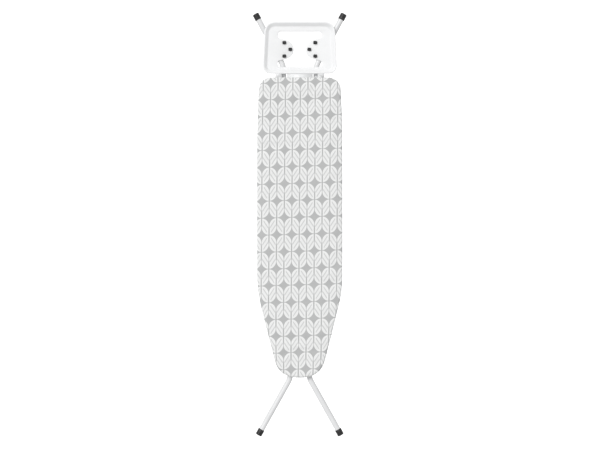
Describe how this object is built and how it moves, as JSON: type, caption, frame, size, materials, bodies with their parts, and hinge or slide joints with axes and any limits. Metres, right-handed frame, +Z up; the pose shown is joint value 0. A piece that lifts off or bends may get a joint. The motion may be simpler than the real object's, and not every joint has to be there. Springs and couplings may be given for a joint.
{
  "type": "ironing board",
  "caption": "Folding ironing board with scissor legs, mesh top, padded printed cover, height latch and a steel iron rest with silicone knobs.",
  "frame": {"origin": "on the floor under the middle of the folded board, which lies on its feet with the cover up", "axes": "+Z up through the cover, +Y along the board towards the iron rest, +X towards the side that holds the release lever"},
  "size_m": [0.3768, 1.7023, 0.0564],
  "materials": {
    "cover_print": "printed cotton, light grey ground with white leaves",
    "felt": "needled felt and foam",
    "white_coat": "white powder coat, satin",
    "mesh_steel": "light grey coated expanded steel",
    "zinc": "bright zinc plate",
    "black_plastic": "black moulded plastic, fine grain",
    "silicone": "black silicone, soft sheen",
    "nylon": "natural nylon"
  },
  "bodies": {
    "board": {"cover": "cover_print", "pad": "felt", "mesh_panel": "mesh_steel", "edge_frame": "white_coat", "hinge_strap": "white_coat", "middle_strap": "white_coat", "heel_strap": "white_coat", "iron_rest": "white_coat", "rest_knob_left_far": "silicone", "rest_knob_left_tip": "silicone", "rest_knob_left_near": "silicone", "rest_knob_right_far": "silicone", "rest_knob_right_tip": "silicone", "rest_knob_right_near": "silicone", "rest_screw_left": "zinc", "rest_screw_right": "zinc", "hinge_bracket_left": "white_coat", "hinge_bracket_right": "white_coat", "hinge_pin_left": "zinc", "hinge_pin_right": "zinc", "slide_rail_left": "white_coat", "slide_rail_right": "white_coat", "lever_bracket": "white_coat", "lever_spring": "zinc"},
    "outer_legs": {"outer_leg_left": "white_coat", "outer_leg_right": "white_coat", "outer_foot_left": "black_plastic", "outer_foot_right": "black_plastic", "outer_brace": "white_coat", "crossing_rivet_left": "zinc", "crossing_rivet_right": "zinc", "crossing_washer_left": "nylon", "crossing_washer_right": "nylon"},
    "inner_legs": {"inner_leg_left": "white_coat", "inner_leg_right": "white_coat", "inner_foot_left": "black_plastic", "inner_foot_right": "black_plastic", "inner_brace": "white_coat", "slide_bar": "zinc", "glide_left": "nylon", "glide_right": "nylon"},
    "lever": {"release_lever": "zinc", "latch_strip": "zinc", "lever_grip": "black_plastic"}
  },
  "joints": [
    {"name": "leg_fold", "type": "hinge", "parent": "board", "child": "outer_legs", "pos_m": [0, -0.4, 0.013], "axis": [-1, 0, 0], "range_deg": [0, 47]},
    {"name": "scissor", "type": "hinge", "parent": "outer_legs", "child": "inner_legs", "pos_m": [0, 0, 0.013], "axis": [1, 0, 0], "range_deg": [0, 94]},
    {"name": "release", "type": "hinge", "parent": "board", "child": "lever", "pos_m": [0, 0.43, 0.032], "axis": [-1, 0, 0], "range_deg": [0, 2.4], "stiffness_Nm_per_rad": 2, "springref_deg": -8.59}
  ],
  "couplings": [
    {"joint": "scissor", "follows": "leg_fold", "ratio": 2}
  ]
}
